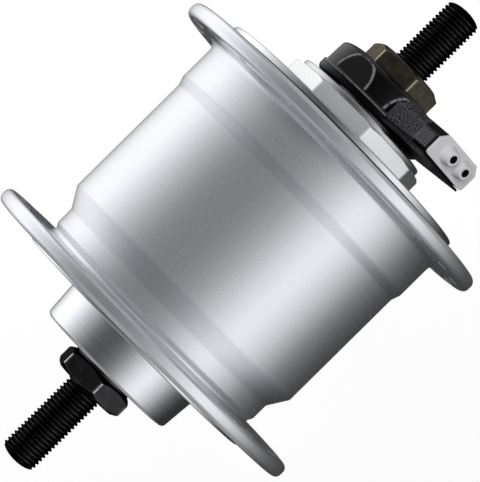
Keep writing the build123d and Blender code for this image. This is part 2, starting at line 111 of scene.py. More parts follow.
def worked_material(name, tones, grain, roughness, relief, shader_values, turned=False):
    """A material whose tone, roughness and relief follow one grain of a real size.

    The grain is noise on object coordinates. Where a lathe made the surface, it varies only with
    the distance from the axle and the station, which draws rings. The ends between which the noise
    mostly lies take the two tones and the two roughness values.
    """
    noise_low, noise_high = 0.3, 0.7
    material = bpy.data.materials.new(name)
    material.use_nodes = True
    material.node_tree.nodes.clear()
    place = add_node(material, "ShaderNodeTexCoord", name="place").outputs["Object"]
    if turned:
        place = profile_place(material, place)[1]
    pattern = add_node(material, "ShaderNodeTexNoise", {"Scale": 1 / grain, "Detail": 3.0},
                       {"Vector": place}).outputs["Fac"]
    tone = add_node(material, "ShaderNodeValToRGB", links={"Fac": pattern}, name="tone")
    for element, position, colour in zip(tone.color_ramp.elements, (noise_low, noise_high), tones):
        element.position = position
        element.color = linear(colour)
    rough = add_node(material, "ShaderNodeMapRange",
                     {"From Min": noise_low, "From Max": noise_high,
                      "To Min": roughness[0], "To Max": roughness[1]},
                     {"Value": pattern})
    bump = add_node(material, "ShaderNodeBump", {"Strength": 0.5, "Distance": relief}, {"Height": pattern},
                    name="relief")
    shader = add_node(material, "ShaderNodeBsdfPrincipled", shader_values,
                      {"Base Color": tone.outputs["Color"], "Roughness": rough.outputs["Result"],
                       "Normal": bump.outputs["Normal"]}, name="shader")
    add_node(material, "ShaderNodeOutputMaterial", links={"Surface": shader.outputs["BSDF"]})
    return material


def show_through(material, share, colour, grain, breaks=(0.28, 0.48)):
    """Another colour where a share is high and noise of this grain is above its breaks."""
    specks = add_node(material, "ShaderNodeTexNoise", {"Scale": 1 / grain, "Detail": 2.0},
                      {"Vector": node_output(material, "place", "Object")})
    broken = add_node(material, "ShaderNodeMapRange", {"From Min": breaks[0], "From Max": breaks[1]},
                      {"Value": specks.outputs["Fac"]})
    amount = add_node(material, "ShaderNodeMath", links={0: share, 1: broken.outputs["Result"]},
                      operation="MULTIPLY")
    mixed = add_node(material, "ShaderNodeMixRGB", {"Color2": linear(colour)},
                     {"Fac": amount.outputs["Value"], "Color1": node_output(material, "tone", "Color")})
    feed(material, "shader", "Base Color", mixed.outputs["Color"])


def around_axle(radius, station, angle):
    """Grid of points at a radius, a station along Y and an angle from +Z towards +X."""
    radius, station, angle = np.broadcast_arrays(radius, station, angle)
    return np.stack((radius * np.sin(angle), station, radius * np.cos(angle)), axis=-1)


def closed_grid(points, material=0):
    """Points, quads and material index of a grid whose columns close round, in rows end to end."""
    rows, columns = points.shape[:2]
    row, column = np.meshgrid(np.arange(rows - 1), np.arange(columns), indexing="ij")
    beside = (column + 1) % columns
    corners = (row * columns + column, row * columns + beside,
               (row + 1) * columns + beside, (row + 1) * columns + column)
    return points.reshape(-1, 3), np.stack(corners, axis=-1).reshape(-1, 4), material


def make_piece(name, grids, body, nodes, materials, sharp_over=35, wear_and_highlight=None):
    """One closed piece from grids, which rides on a body and stands for CAD nodes.

    Points closer than the merge distance become one, which also closes poles, and the faces are
    turned outwards. An edge is sharp where its faces turn by more degrees than sharp_over. If wear
    and highlight shares are given, they go from 0 to 1 for each point, for the material to read: how
    bare a nut is there, and how much painted highlight the connector's body takes.
    """
    offsets = np.cumsum([0] + [len(grid[0]) for grid in grids])
    points = np.concatenate([grid[0] for grid in grids])
    quads = np.concatenate([grid[1] + offset for grid, offset in zip(grids, offsets)])
    mesh = bpy.data.meshes.new(name)
    mesh.from_pydata(points.tolist(), [], quads.tolist())
    face_materials = np.concatenate([np.full(len(grid[1]), grid[2]) for grid in grids])
    mesh.polygons.foreach_set("material_index", face_materials)
    if wear_and_highlight is not None:
        mesh.attributes.new("wear_and_highlight", "FLOAT", "POINT").data.foreach_set("value", wear_and_highlight.ravel())
    shape = bmesh.new()
    shape.from_mesh(mesh)
    bmesh.ops.remove_doubles(shape, verts=shape.verts, dist=merge_distance)
    bmesh.ops.recalc_face_normals(shape, faces=shape.faces)
    shape.to_mesh(mesh)
    shape.free()
    mesh.shade_smooth()
    mesh.set_sharp_from_angle(angle=math.radians(sharp_over))
    piece = bpy.data.objects.new(name, mesh)
    bpy.context.scene.collection.objects.link(piece)
    for material in materials:
        mesh.materials.append(material)
    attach(piece, body)
    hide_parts(*nodes)
    return piece


# Rows of the stud: a pole and a dome at each end, and thread rows on the stretches that show
thread_step = thread_pitch / rows_a_pitch
dome_steps = axle_end_height * (1 - np.cos(np.linspace(0, np.pi / 2, axle_end_rows)))
axle_stations = np.concatenate((
    axle_low.y + dome_steps,
    np.arange(axle_low.y + axle_end_height + thread_step, left_nut_face + thread_reach, thread_step),
    np.arange(right_nut_face - thread_reach, axle_high.y - axle_end_height, thread_step),
    axle_high.y - dome_steps[::-1],
))[:, None]
axle_angles = np.linspace(0, 2 * np.pi, axle_columns, endpoint=False)[None, :]

# Thread: a V with flattened crests and roots, the clipped cosine of the turn along the helix.
# The dome at each end is a quarter of an ellipse and cuts the thread off.
phase = 2 * np.pi * axle_stations / thread_pitch - axle_angles
ridge = np.clip(0.5 + thread_swing * np.cos(phase), 0, 1)
end_distance = np.minimum(axle_stations - axle_low.y, axle_high.y - axle_stations)
dome_share = np.clip(1 - end_distance / axle_end_height, 0, 1)
axle_dome = axle_radius * np.sqrt(1 - dome_share ** 2)
axle_rows = np.minimum(axle_radius - thread_depth * (1 - ridge), axle_dome)

# Black oxide on steel: almost black with a dull metal shine, browner where the oxide is thin,
# in patches of about 2 mm. The crests are painted a little greyer here and there, partly as rubbed wear and
# partly as a painted glint.
black_oxide = worked_material("black_oxide_rolled_steel", ("#0E0D0D", "#211E1C"), 2 * MM, (0.2, 0.3),
                              0.02 * MM, {"Metallic": 1.0, "Specular Tint": linear("#777777")})
from_axis = profile_place(black_oxide, node_output(black_oxide, "place", "Object"))[0]
# Greyer crests: partly rubbed wear, partly painted glint
crest_wear_and_glint = add_node(black_oxide, "ShaderNodeMapRange",
                 {"From Min": axle_radius - crest_start, "From Max": axle_radius - crest_full,
                  "To Max": crest_wear_and_glint_share},
                 {"Value": from_axis})
show_through(black_oxide, crest_wear_and_glint.outputs["Result"], "#474543", 0.7 * MM)
make_piece("axle_stud", [closed_grid(around_axle(axle_rows, axle_stations, axle_angles))],
           "axle_assembly", ["axle"], [black_oxide])


# Lock nuts: 17 mm hexagons of steel with turned bevels, screwed up against the left bearing's
# washer and the connector. The left one is black, as its washer is, and the right one olive.
nut_apothem = 8.5 * MM
nut_columns = 288
nut_leg_rows = 24
nut_crispness = 110
nut_bevel, nut_bevel_width = 1.2 * MM, 2.0 * MM
nut_corner = nut_apothem / math.cos(math.pi / 6)
nut_overrun = 0.3 * MM
nut_clearance = 0.05 * MM
corner_wear, bevel_wear = 0.28 * MM, 0.12 * MM
bevel_wear_share = 0.15
side_fade = 0.1 * MM
bore_radius = axle_radius + nut_clearance
left_nut_turn, right_nut_turn = math.radians(-32.4), math.radians(-25.8)


def many_sided(angle, apothem, sides, turn, crispness):
    """Radius of a polygon with rounded corners, one of them at the turn.

    It is the apothem over the norm, of a high power, of the cosines to each side's middle: the
    crisper, the nearer that is to the largest cosine alone, and the sharper the corners.
    """
    middles = turn + (np.arange(sides) + 0.5) * 2 * np.pi / sides
    cosines = np.clip(np.cos(angle[..., None] - middles), 0, 1)
    return apothem / (cosines ** crispness).sum(axis=-1) ** (1 / crispness)


def lesser(first, second, crispness=160):
    """The smaller of two radii, rounded where they cross: their norm of a large negative power."""
    largest = np.maximum(first, second)
    power_sum = (first / largest) ** -crispness + (second / largest) ** -crispness
    return largest * power_sum ** (-1 / crispness)


def near(distance, reach):
    """1 at no distance, falling as a bell curve to about a third at the reach."""
    return np.exp(-(distance / reach) ** 2)


def refinish(nodes, material):
    """Give CAD pieces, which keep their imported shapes, this one material."""
    for node in nodes:
        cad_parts[node].data.materials.clear()
        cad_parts[node].data.materials.append(material)


def nut_piece(name, node, turn, bevel_start, material):
    """A nut: bore, face, bevel, side, bevel and face again, cut down to the hexagon.

    It is most rubbed along its corners, and less where the bevels meet the flats.
    """
    start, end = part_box(node)[0].y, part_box(node)[1].y
    outside = nut_corner + nut_overrun
    face_radius = nut_corner - nut_bevel_width
    rise = nut_bevel * (outside - nut_corner + nut_bevel_width) / nut_bevel_width
    first = [(face_radius, start), (outside, start + rise)] if bevel_start else [(outside, start)]
    corners = np.array([(bore_radius, start), *first, (outside, end - rise), (face_radius, end),
                        (bore_radius, end)])
    legs = [np.linspace(corners[leg], corners[leg + 1], nut_leg_rows, endpoint=False)
            for leg in range(len(corners) - 1)]
    profile = np.concatenate(legs + [corners[-1:], corners[:1]])
    angle = np.linspace(0, 2 * np.pi, nut_columns, endpoint=False)[None, :]
    hexagon = many_sided(angle, nut_apothem, 6, turn, nut_crispness)
    radius = lesser(hexagon, profile[:, :1])
    around = np.mod(angle - turn + np.pi / 6, np.pi / 3) - np.pi / 6
    on_side = np.clip((profile[:, :1] - hexagon) / side_fade, 0, 1)
    wear_and_highlight = np.maximum(near(around * nut_corner, corner_wear) * on_side,
                      bevel_wear_share * near(profile[:, :1] - hexagon, bevel_wear))
    points = around_axle(radius, np.broadcast_to(profile[:, 1:], radius.shape), angle)
    make_piece(name, [closed_grid(points)], "axle_assembly", [node], [material], wear_and_highlight=wear_and_highlight)


# Black oxide gives the left nut a dark steel shine, and the right nut's chromate over zinc is a
# dark olive brown. Both are rubbed bright along their edges.
black_nut = worked_material("black_oxide_worn_steel", ("#3A3A3C", "#4A4A4C"), 1.5 * MM, (0.2, 0.3),
                            0.01 * MM, {"Metallic": 1.0, "Specular Tint": linear("#8A8A8A")})
olive_nut = worked_material("olive_chromate_on_zinc", ("#5B574C", "#736E62"), 1.5 * MM, (0.27, 0.4),
                            0.01 * MM, {"Metallic": 1.0, "Specular Tint": linear("#BDBAB0")})
for material, bare in ((black_nut, "#D0D0D1"), (olive_nut, "#BDB9A8")):
    wear_and_highlight_share = add_node(material, "ShaderNodeAttribute", attribute_name="wear_and_highlight").outputs["Fac"]
    show_through(material, wear_and_highlight_share, bare, 0.5 * MM)
nut_piece("left_nut", "left_lock_nut", left_nut_turn, True, black_nut)
nut_piece("right_nut", "right_lock_nut", right_nut_turn, False, olive_nut)
refinish(["left_washer"], black_nut)


# Hub shell: one piece of aluminium, cast and turned, with both spoke flanges and the left
# bearing boss. Barrel and flanges are blasted satin, the boss and its disc are turned bright.
shell_columns = 288
spoke_count = 18
spoke_circle_radius = 40 * MM
spoke_hole_radius = 1.3 * MM
hole_bevel = 0.35 * MM
hole_side_steps = 8
hole_patch_shares = (1, 0.6, 0.3, 0.08, 0)
left_spoke_turn, right_spoke_turn = math.radians(7.2), math.radians(-2.8)
shell_angles = left_spoke_turn + np.linspace(0, 2 * np.pi, shell_columns, endpoint=False)

# Radii and stations of the outlines, in millimetres. The holes have a band of each flange to
# themselves, and the cavity under the barrel is open to the right, where the cover closes it.
flange_radius, rim_rounding = 43.4, 1.4
left_outside, left_inside = -32.0, -28.4
right_inside, right_outside = 25.8, 29.4
holes_inner, holes_outer = 36.6, 42.0
groove_lip, groove_radius, groove_middle, groove_end = 30.2, 29.7, -27.5, -26.3
neck_radius, neck_end = 30.4, -22.2
barrel_radius, barrel_start, barrel_end = 33.2, -17.7, 13.6
band_radius, band_start, band_rounding = 33.9, 15.6, 2.0
disc_radius, disc_face = 32.0, -33.0
boss_radius, boss_root_radius, boss_end = 17.8, 18.5, -41.9
cup_radius, cup_floor, cup_opening = 13.65, -33.4, 11.0
cavity_radius, neck_cavity_radius, cavity_start = 30.85, 27.4, -28.5


def rounded(corners, steps=6):
    """(radius, station, rounding) corners in millimetres as points in metres.

    Each rounding is an arc tangent to both sides. Its centre lies on the corner's bisector, and
    its points are the two tangent points turned about that centre by even shares of the angle.
    """
    corners = np.array(corners, dtype=float) * MM
    found = []
    for place in range(len(corners)):
        here, size = corners[place, :2], corners[place, 2]
        if size == 0:
            found.append(here[None, :])
            continue
        before, after = corners[place - 1, :2] - here, corners[place + 1, :2] - here
        before, after = before / np.linalg.norm(before), after / np.linalg.norm(after)
        half = math.acos(np.clip(before @ after, -1, 1)) / 2
        centre = here + (before + after) / np.linalg.norm(before + after) * size / math.sin(half)
        start = here + before * size / math.tan(half) - centre
        end = here + after * size / math.tan(half) - centre
        share = np.linspace(0, 1, steps)[:, None]
        turn = math.pi - 2 * half
        turned = np.sin((1 - share) * turn) * start + np.sin(share * turn) * end
        found.append(centre + turned / math.sin(turn))
    return np.concatenate(found)


def lathe(corners, material=0):
    """Surface of revolution about the axle from rounded corners, with the shell's columns."""
    profile = rounded(corners)
    return closed_grid(around_axle(profile[:, :1], profile[:, 1:], shell_angles[None, :]), material)


def holed_flange(start, end, turn):
    """Both faces of a flange, at two stations, in the band of its holes, with the holes between.

    Each hole has a patch whose outline follows its sector of the band: the inner arc, a side, the
    outer arc and the other side. Rows go from that outline on one face to the hole's bevel,
    through the hole, and out to the same outline on the other face.
    """
    half = np.pi / spoke_count
    arc = np.linspace(-half, half, shell_columns // spoke_count + 1)[:-1]
    side = np.linspace(holes_inner, holes_outer, hole_side_steps, endpoint=False)
    radius = MM * np.concatenate((np.full(arc.size, holes_inner), side, np.full(arc.size, holes_outer),
                                  holes_inner + holes_outer - side))
    angle = np.concatenate((arc, np.full(side.size, half), -arc, np.full(side.size, -half)))
    outline = np.stack((radius * np.sin(angle), radius * np.cos(angle) - spoke_circle_radius), axis=-1)
    away = outline / np.linalg.norm(outline, axis=-1, keepdims=True)
    rows = [(1 - share) * away * (spoke_hole_radius + hole_bevel) + share * outline
            for share in hole_patch_shares]
    rows = np.stack(rows + [away * spoke_hole_radius, away * spoke_hole_radius] + rows[::-1])
    repeats = (len(hole_patch_shares), 1, 1, len(hole_patch_shares))
    station = np.repeat((start, start + hole_bevel, end - hole_bevel, end), repeats)[:, None]
    across, up = rows[..., 0], rows[..., 1] + spoke_circle_radius
    holes = []
    for here in turn + 2 * np.pi * np.arange(spoke_count) / spoke_count:
        x = across * math.cos(here) + up * math.sin(here)
        z = up * math.cos(here) - across * math.sin(here)
        holes.append(closed_grid(np.stack(np.broadcast_arrays(x, station, z), axis=-1)))
    return holes


shell_grids = [
    lathe(((cavity_radius, right_outside, 0), (cavity_radius, barrel_start, 0),
           (neck_cavity_radius, neck_end, 0), (neck_cavity_radius, cavity_start, 0),
           (cup_opening, cavity_start, 0), (cup_opening, cup_floor, 0),
           (cup_radius, cup_floor, 0), (cup_radius, boss_end, 0))),
    lathe(((cup_radius, boss_end, 0), (boss_radius, boss_end, 1.0), (boss_root_radius, disc_face, 0.6),
           (disc_radius, disc_face, 0.4), (disc_radius, left_outside, 0)), 1),
    lathe(((disc_radius, left_outside, 0), (holes_inner, left_outside, 0))),
    *holed_flange(left_outside * MM, left_inside * MM, left_spoke_turn),
    lathe(((holes_outer, left_outside, 0), (flange_radius, left_outside, rim_rounding),
           (flange_radius, left_inside, rim_rounding), (holes_outer, left_inside, 0))),
    lathe(((holes_inner, left_inside, 0), (groove_lip, left_inside, 0.4), (groove_radius, groove_middle, 0.6),
           (neck_radius, groove_end, 0.9), (neck_radius, neck_end, 1.5), (barrel_radius, barrel_start, 1.2),
           (barrel_radius, barrel_end, 0.8), (band_radius, band_start, 0.8),
           (band_radius, right_inside, band_rounding), (holes_inner, right_inside, 0))),
    *holed_flange(right_inside * MM, right_outside * MM, right_spoke_turn),
    lathe(((holes_outer, right_inside, 0), (flange_radius, right_inside, rim_rounding),
           (flange_radius, right_outside, rim_rounding), (holes_outer, right_outside, 0))),
    lathe(((holes_inner, right_outside, 0), (cavity_radius, right_outside, 0))),
]

# Blasted and clear anodised aluminium: an even satin silver. Its grain of about 0.1 mm is drawn
# at 0.3 mm to show, over faint rings 0.35 mm wide that the lathe left.
satin_aluminium = worked_material("blasted_anodised_aluminium", ("#D9DBE1", "#E2E4E8"), 0.3 * MM,
                                  (0.22, 0.28), 0.003 * MM, {"Metallic": 0.84})
ring_place = profile_place(satin_aluminium, node_output(satin_aluminium, "place", "Object"))[1]
ring_lines = add_node(satin_aluminium, "ShaderNodeTexNoise", {"Scale": 1 / (0.35 * MM), "Detail": 2.0},
                      {"Vector": ring_place})
ring_relief = add_node(satin_aluminium, "ShaderNodeBump", {"Strength": 0.15, "Distance": 0.003 * MM},
                       {"Height": ring_lines.outputs["Fac"]})
feed(satin_aluminium, "relief", "Normal", ring_relief.outputs["Normal"])

# Blasting has blurred the cone between the left neck and the barrel, so that it shines almost
# like the barrel: there the normal keeps only a share of its lean along the axle. This cone and
# the short one before the raised band are painted a little darker than the straight stretches, as painted
# shade.
cone_places = ((-19.8 * MM, 2.3 * MM), (14.6 * MM, 1.1 * MM))
cone_fade = 0.4 * MM
kept_lean_share = 0.25
shell_place = node_output(satin_aluminium, "place", "Object")
shell_station = add_node(satin_aluminium, "ShaderNodeSeparateXYZ", links={"Vector": shell_place}).outputs["Y"]
on_cones = []
for cone_middle, cone_half in cone_places:
    from_middle = add_node(satin_aluminium, "ShaderNodeMath", {1: cone_middle}, {0: shell_station},
                           operation="SUBTRACT")
    off_middle = add_node(satin_aluminium, "ShaderNodeMath", links={0: from_middle.outputs["Value"]},
                          operation="ABSOLUTE")
    on_cones.append(add_node(satin_aluminium, "ShaderNodeMapRange",
                             {"From Min": cone_half + cone_fade, "From Max": cone_half},
                             {"Value": off_middle.outputs["Value"]}).outputs["Result"])
kept_lean = add_node(satin_aluminium, "ShaderNodeMapRange", {"To Min": 1.0, "To Max": kept_lean_share},
                     {"Value": on_cones[0]})
lean_scale = add_node(satin_aluminium, "ShaderNodeCombineXYZ", {"X": 1.0, "Z": 1.0},
                      {"Y": kept_lean.outputs["Result"]})
shell_normal = add_node(satin_aluminium, "ShaderNodeNewGeometry").outputs["Normal"]
lean = add_node(satin_aluminium, "ShaderNodeVectorMath",
                links={0: shell_normal, 1: lean_scale.outputs["Vector"]}, operation="MULTIPLY")
blurred = add_node(satin_aluminium, "ShaderNodeVectorMath", links={0: lean.outputs["Vector"]},
                   operation="NORMALIZE")
satin_aluminium.node_tree.links.new(blurred.outputs["Vector"], ring_relief.inputs["Normal"])
# Painted shade: the base colour is multiplied a little darker on both cones
cone_shade_share = add_node(satin_aluminium, "ShaderNodeMath", links={0: on_cones[0], 1: on_cones[1]},
                  operation="MAXIMUM")
cone_shaded_colour = add_node(satin_aluminium, "ShaderNodeMixRGB", {"Color2": linear("#EFEFF1")},
                  {"Fac": cone_shade_share.outputs["Value"], "Color1": node_output(satin_aluminium, "tone", "Color")},
                  blend_type="MULTIPLY")
feed(satin_aluminium, "shader", "Base Color", cone_shaded_colour.outputs["Color"])

# Turned aluminium on the boss and disc: smoother and more mirror-like, with tool rings about
# 0.25 mm wide, so it shows the light's bands with more contrast than the satin barrel.
turned_aluminium = worked_material("turned_anodised_aluminium", ("#DBDDE2", "#E5E7EB"), 0.25 * MM,
                                   (0.2, 0.27), 0.0025 * MM, {"Metallic": 1.0}, turned=True)
make_piece("shell", shell_grids, "shell_assembly", ["hub_shell"],
           [satin_aluminium, turned_aluminium], sharp_over=40)


# Right-hand cover: turned aluminium, pressed into the shell, with an octagon for its wrench.
# Its disc lies on a thin rubber seal, and a plated steel dust cover closes the bearing.
octagon_apothem = 17.8 * MM
octagon_turn = math.radians(-33.9)
octagon_crispness = 260
octagon_leg_rows = 14

# Radii and stations of the outlines, in millimetres
cover_back, cover_cup_floor = 26.5, 27.7
skirt_inside, skirt_outside, skirt_start = 28.2, 30.8, 24.4
cover_disc_radius, cover_disc_back, cover_disc_face = 33.5, 30.2, 31.6
octagon_neck, octagon_start = 17.0, 32.4
octagon_outside, octagon_bevel_start = 19.8, 35.5
octagon_face_radius, octagon_face = 18.4, 36.2
dust_back, dust_face = 35.1, 37.6
dust_bore, dust_spigot, dust_radius = 8.9, 13.6, 17.4

cover_profile = rounded(((cup_opening, cover_back, 0), (skirt_inside, cover_back, 0),
                         (skirt_inside, skirt_start, 0), (skirt_outside, skirt_start, 0),
                         (skirt_outside, cover_disc_back, 0), (cover_disc_radius, cover_disc_back, 0),
                         (cover_disc_radius, cover_disc_face, 0.45), (octagon_neck, cover_disc_face, 0.15),
                         (octagon_neck, octagon_start, 0)))
octagon_corners = rounded(((octagon_neck, octagon_start, 0), (octagon_outside, octagon_start, 0),
                           (octagon_outside, octagon_bevel_start, 0), (octagon_face_radius, octagon_face, 0),
                           (cup_radius, octagon_face, 0), (cup_radius, cover_cup_floor, 0),
                           (cup_opening, cover_cup_floor, 0), (cup_opening, cover_back, 0)))
octagon_legs = [np.linspace(octagon_corners[leg], octagon_corners[leg + 1], octagon_leg_rows, endpoint=False)
                for leg in range(len(octagon_corners) - 1)]
octagon_rows = np.concatenate(octagon_legs + [octagon_corners[-1:]])
octagon = many_sided(shell_angles[None, :], octagon_apothem, 8, octagon_turn, octagon_crispness)
octagon_radii = lesser(octagon, octagon_rows[:, :1], octagon_crispness)
octagon_points = around_axle(octagon_radii, octagon_rows[:, 1:], shell_angles[None, :])
cover_points = around_axle(cover_profile[:, :1], cover_profile[:, 1:], shell_angles[None, :])
cover_points[-1] = octagon_points[0]

# The octagon's flats are milled and blasted: duller than the turned disc, so that each flat is
# one even tone, with marks of half a millimetre.
milled_aluminium = worked_material("milled_blasted_aluminium", ("#DFE0E2", "#E7E8E9"), 0.5 * MM,
                                   (0.26, 0.32), 0.003 * MM, {"Metallic": 0.7})
make_piece("end_cover", [closed_grid(cover_points), closed_grid(octagon_points, 1)],
           "shell_assembly", ["right_end_cover"], [turned_aluminium, milled_aluminium])

# Zinc plated pressed steel: a light grey band with a slight blue cast.
zinc_plate = worked_material("zinc_plated_pressed_steel", ("#C6C8CB", "#D4D6D8"), 0.5 * MM, (0.26, 0.36),
                             0.004 * MM, {"Metallic": 1.0}, turned=True)
dust_grid = lathe(((dust_bore, dust_back, 0), (dust_spigot, dust_back, 0), (dust_spigot, octagon_face, 0),
                   (dust_radius, octagon_face, 0.25), (dust_radius, dust_face, 0.45),
                   (dust_bore, dust_face, 0), (dust_bore, dust_back, 0)))
make_piece("dust_cover_ring", [dust_grid], "shell_assembly", ["right_dust_cover"],
           [zinc_plate])


# Connector: moulded nylon. A ring with an arm sits on the axle, and the round body in front of
# it has six grip flats. The plug's black body slides on the arm and has a grey cap.
body_columns = 432
body_crispness = 260
dome_rows, side_rows = 14, 26
flats_turn = math.radians(14.0)
# Reaches of the painted highlights along the flats' edges and in a thin line round the collar
flat_edge_highlight_reach, collar_highlight_reach = 0.07 * MM, 0.17 * MM

# Radii and stations of the body, in millimetres. Its dome is a quarter of an ellipse between a
# radius and the front, and above the flats' start the side leans in to it along a parabola.
puck_radius, puck_start, puck_end = 15.0, 40.0, 47.5
flats_start, flat_apothem = 40.8, 14.2
dome_top_radius, dome_width, dome_height = 9.2, 5.3, 2.0
collar_highlight_station = 40.1

dome_turn = np.linspace(0, np.pi / 2, dome_rows)
dome = MM * np.stack((dome_top_radius + dome_width * np.cos(dome_turn),
                      puck_end - dome_height + dome_height * np.sin(dome_turn)), axis=-1)
collar_profile = rounded(((bore_radius / MM, puck_start, 0), (puck_radius, puck_start, 0.35),
                          (puck_radius, flats_start, 0)))
side_stations = np.linspace(flats_start * MM, dome[0, 1], side_rows)
side_share = (side_stations - side_stations[0]) / (side_stations[-1] - side_stations[0])
side_radii = puck_radius * MM - (puck_radius * MM - dome[0, 0]) * side_share ** 2
puck_profile = np.concatenate((np.stack((side_radii, side_stations), axis=-1), dome[1:],
                               [[bore_radius, puck_end * MM], [bore_radius, puck_start * MM]]))
body_angles = np.linspace(0, 2 * np.pi, body_columns, endpoint=False)[None, :]
flats = many_sided(body_angles, flat_apothem * MM, 6, flats_turn, body_crispness)
puck_radii = lesser(flats, puck_profile[:, :1], body_crispness)
puck_points = around_axle(puck_radii, puck_profile[:, 1:], body_angles)
collar_points = around_axle(collar_profile[:, :1], collar_profile[:, 1:], body_angles)
collar_points = np.concatenate((collar_points, puck_points[:1]))
# Painted highlight along the edges where the flats meet the round side, and in a broken line round the collar
puck_edge_highlight = near(flats - puck_profile[:, :1], flat_edge_highlight_reach)
puck_edge_highlight[-2:] = 0
collar_highlight_line = near(collar_points[..., 1] - collar_highlight_station * MM, collar_highlight_reach)
collar_highlight_line[0] = 0

# Black nylon: a deep black with a soft shine and a moulded grain of about 0.25 mm. The mould
# rounds all edges a little, and the edges of the flats and of the plug are painted lighter, as
# painted highlights. The plug's sides have a coarser grain to grip, lighter to the eye, down to an arc above
# its ribs.
black_nylon = worked_material("moulded_black_nylon", ("#030303", "#070707"), 0.25 * MM, (0.2, 0.28),
                              0.01 * MM, {"IOR": 1.5, "Specular IOR Level": 0.22})
# The attribute read here gives the body's painted highlights, lighter grey on its edges and collar line
wear_and_highlight_share = add_node(black_nylon, "ShaderNodeAttribute", attribute_name="wear_and_highlight").outputs["Fac"]
show_through(black_nylon, wear_and_highlight_share, "#7E7E82", 0.6 * MM)
grip_nylon = worked_material("grained_black_nylon", ("#030303", "#070707"), 0.4 * MM, (0.4, 0.5), 0.05 * MM,
                             {"IOR": 1.5, "Specular IOR Level": 0.08})
grip_arc_centre = (0, 41.2 * MM, 12.5 * MM)
grip_reach, grip_fade = 12.0 * MM, 0.1 * MM
nylon_rounding = 0.25 * MM
beside_arm = add_node(grip_nylon, "ShaderNodeVectorMath", {1: (0, 1, 1)},
                      {0: node_output(grip_nylon, "place", "Object")}, operation="MULTIPLY")
from_arc = add_node(grip_nylon, "ShaderNodeVectorMath", {1: grip_arc_centre},
                    {0: beside_arm.outputs["Vector"]}, operation="DISTANCE")
in_grip = add_node(grip_nylon, "ShaderNodeMapRange",
                   {"From Min": grip_reach + grip_fade, "From Max": grip_reach - grip_fade},
                   {"Value": from_arc.outputs["Value"]})
show_through(grip_nylon, in_grip.outputs["Result"], "#48484B", 0.45 * MM, (0.38, 0.62))
for nylon in (black_nylon, grip_nylon):
    add_node(nylon, "ShaderNodeBevel", {"Radius": nylon_rounding}, samples=6, name="soft_edge")
    feed(nylon, "relief", "Normal", node_output(nylon, "soft_edge", "Normal"))

# An edge of the plug is where its rounded normal turns away from the true one, and there its colour is
# painted lighter, as a painted highlight
plain_likeness, edge_likeness = 0.99, 0.85
true_normal = add_node(grip_nylon, "ShaderNodeNewGeometry").outputs["Normal"]
likeness = add_node(grip_nylon, "ShaderNodeVectorMath",
                    links={0: node_output(grip_nylon, "soft_edge", "Normal"), 1: true_normal},
                    operation="DOT_PRODUCT")
edge_highlight_share = add_node(grip_nylon, "ShaderNodeMapRange",
                        {"From Min": plain_likeness, "From Max": edge_likeness},
                        {"Value": likeness.outputs["Value"]})
plain_colour = grip_nylon.node_tree.nodes["shader"].inputs["Base Color"].links[0].from_socket
# Painted highlight: a lighter grey mixed in along the plug's edges
edge_highlight_colour = add_node(grip_nylon, "ShaderNodeMixRGB", {"Color2": linear("#7C7C80")},
                         {"Fac": edge_highlight_share.outputs["Result"], "Color1": plain_colour})
feed(grip_nylon, "shader", "Base Color", edge_highlight_colour.outputs["Color"])
make_piece("connector_puck", [closed_grid(collar_points), closed_grid(puck_points)], "axle_assembly",
           ["connector_body"], [black_nylon], sharp_over=30,
           wear_and_highlight=np.concatenate((collar_highlight_line.ravel(), puck_edge_highlight.ravel())))

# Grey acetal of the plug's cap: a light grey with a slight sheen and rounded edges. Inside its
# two ports, which lie alike on both sides of its middle, it is painted black, as painted shade in the holes.
port_place = (2.65 * MM, 42.975 * MM)
port_radius = 0.95 * MM
acetal_rounding = 0.3 * MM
grey_acetal = worked_material("moulded_grey_acetal", ("#BDBCC0", "#C6C5C8"), 0.3 * MM, (0.38, 0.5),
                              0.006 * MM, {"IOR": 1.48})
soft_edge = add_node(grey_acetal, "ShaderNodeBevel", {"Radius": acetal_rounding}, samples=6).outputs["Normal"]
feed(grey_acetal, "relief", "Normal", soft_edge)
cap_parts = add_node(grey_acetal, "ShaderNodeSeparateXYZ",
                     links={"Vector": node_output(grey_acetal, "place", "Object")})
from_middle = add_node(grey_acetal, "ShaderNodeMath", links={0: cap_parts.outputs["X"]}, operation="ABSOLUTE")
on_face = add_node(grey_acetal, "ShaderNodeCombineXYZ",
                   links={"X": from_middle.outputs["Value"], "Y": cap_parts.outputs["Y"]})
from_port = add_node(grey_acetal, "ShaderNodeVectorMath", {1: (*port_place, 0)},
                     {0: on_face.outputs["Vector"]}, operation="DISTANCE")
port_shade_mask = add_node(grey_acetal, "ShaderNodeMath", {1: port_radius}, {0: from_port.outputs["Value"]},
                   operation="LESS_THAN")
# Painted shade: the ports' walls are painted near black
cap_colour_with_port_shade = add_node(grey_acetal, "ShaderNodeMixRGB", {"Color2": linear("#0A0A0A")},
                      {"Fac": port_shade_mask.outputs["Value"],
                       "Color1": node_output(grey_acetal, "tone", "Color")})
feed(grey_acetal, "shader", "Base Color", cap_colour_with_port_shade.outputs["Color"])

# The contacts are brass strips plated with tin, and the ring and arm are of a duller black nylon.
plated_strip = worked_material("tin_plated_brass_strip", ("#C9C0A0", "#D8D0B4"), 0.3 * MM, (0.25, 0.35),
                               0.003 * MM, {"Metallic": 1.0})
dull_nylon = black_nylon.copy()
dull_nylon.name = "dull_black_nylon"
dull_nylon.node_tree.nodes["shader"].inputs["Specular IOR Level"].default_value = 0.1
for node, material in (("connector_mount", dull_nylon), ("plug_body", grip_nylon), ("plug_cap", grey_acetal),
                       ("contact_strips", plated_strip)):
    refinish([node], material)


